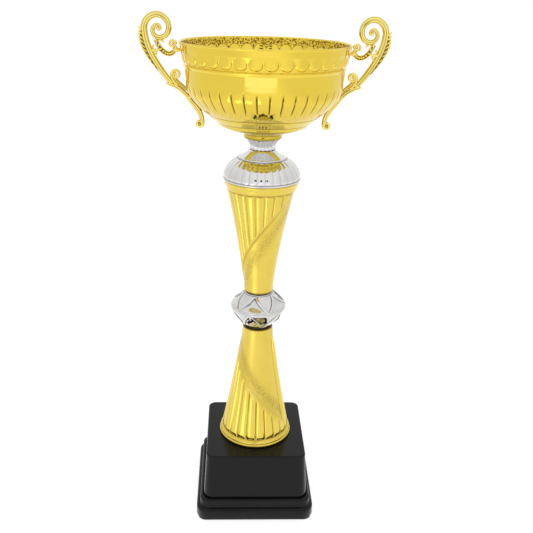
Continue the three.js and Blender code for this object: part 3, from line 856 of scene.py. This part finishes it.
def lofted(name, layers, material, capped=False):
    """A piece that runs through layers of rounded squares, each given as half width, corner and height.

    It is closed by joining its last layer to its first, or with capped by a face over each of the two."""
    rows = [rounded_ring(*layer) for layer in layers]
    count = len(rows[0])
    faces = [tuple(face) for face in grid_faces(len(rows), count, close_rows=not capped)]
    if capped:
        last = (len(rows) - 1) * count
        faces.append(tuple(range(count))[::-1])
        faces.append(tuple(range(last, last + count)))
    return make_mesh(name, np.vstack(rows), faces, material, 35)


def eased_edge(half, corner, z, radius):
    """Layers that round an upper edge over, with a support ring on each side of it."""
    layers = [(half, corner, z - radius - 0.5)]
    for k in range(6):
        angle = math.pi / 2 * k / 5
        layers.append((half - radius * (1 - math.cos(angle)), corner, z - radius + radius * math.sin(angle)))
    layers.append((half - radius - 0.5, corner, z))
    return layers


def make_base():
    """The moulded base: a plate, a step and a block, with a recess line at the foot of the upper two."""
    low, top = ends_of("base_shell")
    plate = radius_of("base_shell")
    plate_top, step_top = low + 13.8, low + 23.8
    layers = [(plate - 2.6, 7.6, low), (plate - 1.6, 13.0, low)]
    layers += [(plate - 0.5, 14.0, low + 0.4), (plate, PLATE_CORNER, low + 1.6)]
    layers += eased_edge(plate - 0.2, PLATE_CORNER, plate_top, 3.2)
    recess = ((61.6, 0.2), (61.2, 0.9), (60.9, 0.1))
    layers += [(half, BASE_CORNER, plate_top - drop) for half, drop in recess]
    layers += eased_edge(60.8, BASE_CORNER, step_top, 2.4)
    layers += [(half, BASE_CORNER, step_top - drop) for half, drop in ((57.3, 0.2), (56.5, 0.9))]
    layers += [(half, BASE_CORNER, step_top + rise) for half, rise in ((56.4, 1.2), (57.0, 2.0), (56.9, 3.2))]
    layers += eased_edge(54.1, BLOCK_CORNER, top, 1.5)
    layers += [(36.0, 30.0, top), (BORE, BORE, top), (BORE, BORE, top - 2.8), (48.0, BLOCK_CORNER, top - 2.8)]
    layers += [(54.2, INNER_CORNER, step_top - 2), (58.2, INNER_CORNER, step_top - 2.6)]
    layers += [(58.4, INNER_CORNER, plate_top - 2.6), (plate - 2.8, INNER_CORNER, plate_top - 2.8)]
    piece = lofted("base_moulding", layers, black_plastic)
    shown(piece, "black_base", "base_shell")


def make_pad():
    """The felt pad that closes the base."""
    low, high = ends_of("base_pad")
    half, corner = radius_of("base_pad"), 9.0
    layers = [(1.0, 1.0, low), (half - 0.3, corner, low), (half, corner, low + 0.2)]
    layers += [(half, corner, high - 0.2), (half - 0.3, corner, high), (1.0, 1.0, high)]
    shown(lofted("base_pad_felt", layers, felt, capped=True), "felt", "base_pad")


def make_weight():
    """The cast ballast block inside the base."""
    low, high = ends_of("base_weight")
    half, corner = radius_of("base_weight"), 6.0
    layers = [(2.0, 2.0, low), (half - 1.2, corner, low), (half, corner, low + 1.2)]
    layers += [(half - 1.0, corner, high - 1.5), (half - 2.5, corner, high), (2.0, 2.0, high)]
    shown(lofted("base_weight_block", layers, cement, capped=True), "cement", "base_weight")


# ---- handles

END_SHRINK = 0.45  # size of a tube's last ring, beyond its end, as a share of its end


class Casting:
    """Collects closed tubes and blobs in the handle's plane. Points are [distance from the axis, height]."""

    def __init__(self):
        self.vertices = []
        self.faces = []
        self.creases = []
        self.count = 0

    def add(self, vertices, faces, painted_shade):
        """Adds one closed form."""
        self.vertices.append(vertices)
        self.creases.append(painted_shade)
        self.faces.extend(tuple(i + self.count for i in face) for face in faces)
        self.count += len(vertices)

    def tube(self, line, half_width, half_depth, sides=12, dark=0.0, ridges=0.0):
        """A tube along line whose half width and half depth run through the given values.

        ridges above 0 gives it raised ridges along its length, with shade painted into the valleys between
        them; dark paints shade over the whole tube."""
        line = np.asarray(line, float)
        t = np.linspace(0.0, 1.0, len(line))
        width = np.interp(t, np.linspace(0, 1, len(half_width)), half_width)
        depth = np.interp(t, np.linspace(0, 1, len(half_depth)), half_depth)
        tangent = np.gradient(line, axis=0)
        tangent /= np.linalg.norm(tangent, axis=1, keepdims=True)
        normal = np.stack([-tangent[:, 1], tangent[:, 0]], axis=1)
        start = line[0] - tangent[0] * width[0] * 0.7
        end = line[-1] + tangent[-1] * width[-1] * 0.7
        centres = np.vstack([start, line, end])
        normals = np.vstack([normal[0], normal, normal[-1]])
        widths = np.concatenate([[width[0] * END_SHRINK], width, [width[-1] * END_SHRINK]])
        depths = np.concatenate([[depth[0] * END_SHRINK], depth, [depth[-1] * END_SHRINK]])
        angle = np.arange(sides) * TAU / sides
        wave = 1.0 + ridges * np.cos(6 * angle)
        reach = (widths[:, None] * np.cos(angle) * wave)[:, :, None]
        in_plane = centres[:, None, :] + normals[:, None, :] * reach
        out = depths[:, None] * np.sin(angle) * wave
        valley_shade = np.clip(-np.cos(6 * angle), 0.0, 1.0) ** 4 * (np.abs(np.sin(angle)) > 0.3) * (ridges > 0)
        painted_shade = np.tile(np.maximum(valley_shade * 0.8, dark), len(centres))
        vertices = np.stack([in_plane[:, :, 0], out, in_plane[:, :, 1]], -1).reshape(-1, 3)
        faces = [tuple(face) for face in grid_faces(len(centres), sides, close_rows=False)]
        last = (len(centres) - 1) * sides
        faces.append(tuple(range(sides))[::-1])
        faces.append(tuple(range(last, last + sides)))
        self.add(vertices, faces, painted_shade)

    def blob(self, centre, half_length, half_width, half_depth, angle=0.0, dark=0.0):
        """An egg shape lying at an angle in the plane."""
        reach = np.array([math.cos(angle), math.sin(angle)]) * half_length
        line = [np.array(centre) + reach * math.sin(k * math.pi / 10) for k in range(-4, 5)]
        size = [math.cos(k * math.pi / 10) for k in range(-4, 5)]
        self.tube(line, [half_width * s for s in size], [half_depth * s for s in size], dark=dark)


def spiral(centre, quarter_radii, start_quarter, turn, per_quarter=8):
    """A spiral that has the given radius at each quarter turn."""
    count = (len(quarter_radii) - 1) * per_quarter + 1
    quarter = np.linspace(0, len(quarter_radii) - 1, count)
    knots = np.arange(len(quarter_radii))
    radius = np.interp(quarter, knots, quarter_radii)
    for _ in range(per_quarter // 2):
        radius[1:-1] = (radius[:-2] + 2 * radius[1:-1] + radius[2:]) / 4
    angle = (start_quarter + turn * quarter) * math.pi / 2
    return np.stack([centre[0] + radius * np.cos(angle), centre[1] + radius * np.sin(angle)], axis=1)


def bezier(a, b, c, d, count=28):
    """Points along the curve from a to d that b and c pull on."""
    t = np.linspace(0, 1, count)[:, None]
    a, b, c, d = (np.array(p, float) for p in (a, b, c, d))
    return (1 - t) ** 3 * a + 3 * (1 - t) ** 2 * t * b + 3 * (1 - t) * t**2 * c + t**3 * d


def beside(line, distance):
    """The line moved sideways, to the left of its direction."""
    tangent = np.gradient(line, axis=0)
    normal = np.stack([-tangent[:, 1], tangent[:, 0]], axis=1)
    return line + normal / np.linalg.norm(normal, axis=1, keepdims=True) * distance


def cast_loop_and_spine(cast):
    """The big loop, which rolls in to a small volute, and the spine that runs down from it."""
    centre = np.array([99.1, 512.8])
    loop = spiral(centre, [12.75, 12.3, 9.9, 8.1, 4.4, 3.1, 2.2, 1.2], 0, 1)
    spine = bezier([111.85, 512.8], [111.5, 497], [102.5, 481], [87.6, 464.4], 48)
    stem = np.vstack([loop[:28][::-1], spine[1:]])
    cast.tube(stem, [2.0, 2.4, 2.9, 3.0, 2.7, 2.3], [2.0, 2.2, 2.2, 2.0], sides=36, ridges=0.13)
    cast.tube(loop[24:], [2.2, 1.7, 1.2, 0.9], [2.0, 1.9, 1.6, 1.5], sides=36, ridges=0.08)
    cast.blob(centre, 1.7, 1.5, 2.3)


def cast_leaf(cast):
    """The acanthus leaf on the outside of the spine: slanting lobes over a hollow painted dark with shade,
    and a raised edge.
    """
    root = bezier([113.2, 512.6], [114.6, 501.5], [110.4, 490.0], [100.2, 477.0], 60)
    # The root is painted almost black with shade, as the hollow under the lobes
    cast.tube(root, [1.2, 2.3, 2.3, 1.7, 0.8], [1.6, 2.2, 2.2, 1.9], dark=0.95)
    edge = bezier([113.0, 513.8], [118.6, 508.0], [117.2, 495.0], [99.8, 475.6], 50)
    cast.tube(edge, [0.7, 1.15, 1.1, 0.9, 0.5], [1.7, 2.0, 1.9, 1.7])
    for k in range(9):
        at = root[int(2 + k * 6.5)]
        size = 1.0 - 0.06 * k
        cast.blob(at + np.array([1.0, 0.5]) * size, 3.9 * size, 1.12 * size, 2.9, math.radians(40 + k))


def cast_leg(cast):
    """The leg that leaves the spine, touches the bowl and ends in a curl."""
    upper = bezier([90.4, 463.4], [84, 462.4], [77, 458.2], [71.0, 450.0], 26)
    lower = bezier([71.0, 450.0], [66.2, 443.0], [59.6, 440], [58.6, 427.0], 26)
    leg = np.vstack([upper, lower[1:]])
    cast.tube(leg, [1.6, 2.0, 1.9, 2.1, 2.5, 1.9], [1.9, 2.0, 2.0, 1.9, 1.8], sides=36, ridges=0.13)
    cast.blob([91.0, 463.2], 2.0, 1.2, 1.8, math.radians(15))
    centre = [61.2, 426.8]
    cast.tube(spiral(centre, [2.8, 2.9, 2.8, 2.4, 1.6], 2, 1), [1.8, 1.5, 1.3, 1.1], [1.8, 1.7, 1.6, 1.4])
    # Painted shade in the eye of the curl
    cast.blob(centre, 1.3, 1.2, 1.9, dark=0.5)


def cast_lower_scroll(cast):
    """The scroll in the fork of spine and leg, with a row of beads that runs down to the bowl."""
    centre = [83.5, 472.2]
    scroll = spiral(centre, [3.8, 3.7, 3.4, 2.9, 2.2, 1.2], 0, 1)
    cast.tube(scroll, [1.5, 1.35, 1.15, 0.9], [2.0, 1.9, 1.8, 1.6])
    cast.blob(centre, 1.2, 1.2, 2.1)
    stalk = bezier([87.4, 472.2], [87.6, 467.6], [85, 464.8], [82, 462.6], 16)
    cast.tube(stalk, [1.5, 1.7, 1.6], [2.0, 1.9, 1.8])
    row = np.linspace([84.0, 467.6], [73.2, 458.4], 8)
    # The tube under the beads is painted half dark with shade
    cast.tube(row, [1.5, 1.6, 1.4], [1.4, 1.5, 1.3], dark=0.5)
    for k, at in enumerate(row):
        cast.blob(at, 2.1 - 0.08 * k, 0.85, 2.2, math.radians(128))


def cast_crescent(cast):
    """The beaded crescent between loop and bowl, its scroll and leaves, and its bracket to the spine."""
    arc = bezier([82.8, 498.6], [83.4, 488.2], [95, 486.4], [101.2, 503.2], 34)
    # The channel between the bead rails is painted almost black with shade
    cast.tube(arc[4:-2], [0.8, 1.5, 1.5, 0.8], [1.0, 1.2, 1.0], dark=0.92)
    cast.tube(beside(arc, 1.8)[3:], [0.4, 0.55, 0.55], [1.3, 1.7, 1.6])
    cast.tube(beside(arc, -1.8)[3:], [0.4, 0.55, 0.55], [1.3, 1.7, 1.6])
    for at in arc[2::3]:
        cast.blob(at, 1.35, 1.35, 2.2)
    centre = [85.9, 499.6]
    scroll = spiral(centre, [3.2, 3.1, 2.9, 2.5, 1.8, 0.9], 2, -1)
    cast.tube(scroll, [1.15, 1.1, 1.0, 0.8], [1.8, 1.7, 1.6, 1.4])
    # Painted shade in the eye of the scroll
    cast.blob(centre, 1.0, 1.0, 1.9, dark=0.3)
    cast.blob([95.4, 502.0], 2.4, 1.1, 1.7, math.radians(35))
    cast.blob([98.2, 499.8], 2.6, 1.0, 1.7, math.radians(70))
    bracket = bezier([106.0, 492.4], [102.6, 494.4], [100.8, 492.4], [98.2, 494.6], 12)
    cast.tube(bracket, [1.7, 1.5, 1.2], [1.7, 1.6, 1.5])
    cast.blob([101.4, 490.0], 2.8, 1.1, 1.6, math.radians(115))
    cast.blob([104.0, 496.6], 2.2, 0.9, 1.6, math.radians(100))


def cast_pegs(cast):
    """The pegs that meet the bowl, where the screws come through."""
    cast.blob([82.6, 494.3], 2.5, 2.3, 2.3)
    cast.tube([[80.1, 494.3], [84.5, 494.3]], [1.9, 1.9], [1.9, 1.9])
    cast.tube([[71.6, 450.8], [69.9, 451.9]], [2.0, 2.0], [2.0, 2.0])


def make_handles():
    """The right handle's casting, and the same turned half round the axis for the left."""
    cast = Casting()
    for part in (cast_loop_and_spine, cast_leaf, cast_leg, cast_lower_scroll, cast_crescent, cast_pegs):
        part(cast)
    vertices = np.vstack(cast.vertices)
    for side, node in ((1, "handle_right"), (-1, "handle_left")):
        placed = vertices * np.array([side, side, 1.0])
        piece = make_mesh(node + "_cast", placed, cast.faces, cast_gold, sharp_deg=60)
        store(piece, "painted_shade", np.concatenate(cast.creases))
        shown(piece, "cast_gold", node)


# ---- carried-over hardware


def finish_hardware():
    """Gives the rod, nuts, washers and screws their zinc-plated steel."""
    for name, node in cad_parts.items():
        if any(word in name for word in ("rod", "nut", "washer", "screw")):
            node.data.materials.clear()
            node.data.materials.append(zinc_steel)


# ---- stage, light and camera

TABLE_GLOW = 0.84
WORLD_DIMMED = 0.84
TABLE_PATCH = (-0.30, -0.42, 0.0)


def glowing(name, colour, strength, albedo):
    """A matt surface that may also give off light, as the panels of a light tent do."""
    material, tree = new_material(name)
    set_shader(tree, {
        "Base Color": (albedo, albedo, albedo),
        "Roughness": 0.8,
        "Specular IOR Level": 0.0,
        "Emission Color": colour,
        "Emission Strength": strength,
    })
    return material


def sideways(tree, direction):
    """How far a point or direction lies from the middle, to the left or right."""
    x = add_node(tree, "SeparateXYZ", "X", {"Vector": direction})
    return calculate(tree, "ABSOLUTE", x)


def light_unevenly(material):
    """Dims the lit table towards its left and right sides, and brightens a round patch of it in front."""
    tree = material.node_tree
    place = add_node(tree, "NewGeometry", "Position", {})
    y = add_node(tree, "SeparateXYZ", "Y", {"Vector": place})
    behind = calculate(tree, "MAXIMUM", y, 0.0)
    widened = calculate(tree, "MULTIPLY_ADD", behind, -0.42, sideways(tree, place))
    sides = remap(tree, widened, (0.40, 1.0), (0.0, -0.16))
    gap = add_node(tree, "VectorMath", "Value", {0: place, 1: TABLE_PATCH}, operation="DISTANCE")
    patch = remap(tree, gap, (0.05, 0.19), (2.3, TABLE_GLOW))
    set_shader(tree, {"Emission Strength": calculate(tree, "ADD", sides, patch)})


def panel(name, location, size, facing, material):
    """A flat stage card that faces the point facing."""
    half_w, half_h = size[0] / 2, size[1] / 2
    corners = [(-half_w, -half_h, 0), (half_w, -half_h, 0), (half_w, half_h, 0), (-half_w, half_h, 0)]
    mesh = bpy.data.meshes.new(name)
    mesh.from_pydata(corners, [], [(0, 1, 2, 3)])
    mesh.materials.append(material)
    card = bpy.data.objects.new(name, mesh)
    bpy.context.scene.collection.objects.link(card)
    card.location = location
    card.rotation_euler = (Vector(facing) - Vector(location)).to_track_quat("Z", "Y").to_euler()


def make_stage():
    """A lit table, the dark shape of a camera and a cool window, which the metal reflects."""
    table = glowing("lit_table", (1.0, 1.0, 1.0), TABLE_GLOW, 0.25)
    light_unevenly(table)
    panel("table", (0, 0, -0.0002), (8.0, 8.0), (0, 0, 5), table)
    dark = glowing("camera_black", (0.02, 0.02, 0.02), 0.0, 0.02)
    panel("camera_body", (-0.06, -1.30, 0.83), (0.42, 0.32), (0, 0, 0.4), dark)
    window = glowing("window_card", (0.52, 0.54, 0.92), 1.95, 0.3)
    panel("window_card", (-0.19, -1.5, 0.13), (1.2, 0.20), (0, 0, 0.45), window)


def make_light():
    """A white surround, a little dimmer towards the left and right."""
    world = bpy.data.worlds.new("studio")
    bpy.context.scene.world = world
    world.use_nodes = True
    tree = world.node_tree
    direction = add_node(tree, "TexCoord", "Generated", {})
    strength = remap(tree, sideways(tree, direction), (0.5, 0.95), (1.0, WORLD_DIMMED))
    background = tree.nodes["Background"]
    feed(tree, background.inputs["Color"], (1.0, 1.0, 1.0))
    feed(tree, background.inputs["Strength"], strength)


def make_camera():
    """The camera in front of the trophy, pitched down and rolled a little."""
    distance, height = 0.679, 0.552
    azimuth, pitch, roll = (math.radians(angle) for angle in (2.6, 22.0, 1.6))
    data = bpy.data.cameras.new("camera")
    data.lens = 47.2
    data.shift_x = 0.0136
    data.shift_y = 0.0015
    data.clip_start = 0.01
    camera = bpy.data.objects.new("camera", data)
    bpy.context.scene.collection.objects.link(camera)
    bpy.context.scene.camera = camera
    z_axis = Vector((0, 0, 1))
    level = Vector((math.sin(azimuth), math.cos(azimuth), 0))
    right = Vector((math.cos(azimuth), -math.sin(azimuth), 0))
    ahead = level * math.cos(pitch) - z_axis * math.sin(pitch)
    up = level * math.sin(pitch) + z_axis * math.cos(pitch)
    x_axis = right * math.cos(roll) + up * math.sin(roll)
    y_axis = up * math.cos(roll) - right * math.sin(roll)
    rotation = Matrix((x_axis, y_axis, -ahead)).transposed()
    place = -level * distance + z_axis * height
    camera.matrix_world = Matrix.Translation(place) @ rotation.to_4x4()


make_bowl()
make_lower_column()
make_upper_column()
make_upper_ball()
make_lower_ball()
make_dome()
make_neck()
make_seat()
make_base()
make_pad()
make_weight()
make_handles()
finish_hardware()
make_stage()
make_light()
make_camera()
bpy.context.scene.view_settings.view_transform = "Standard"
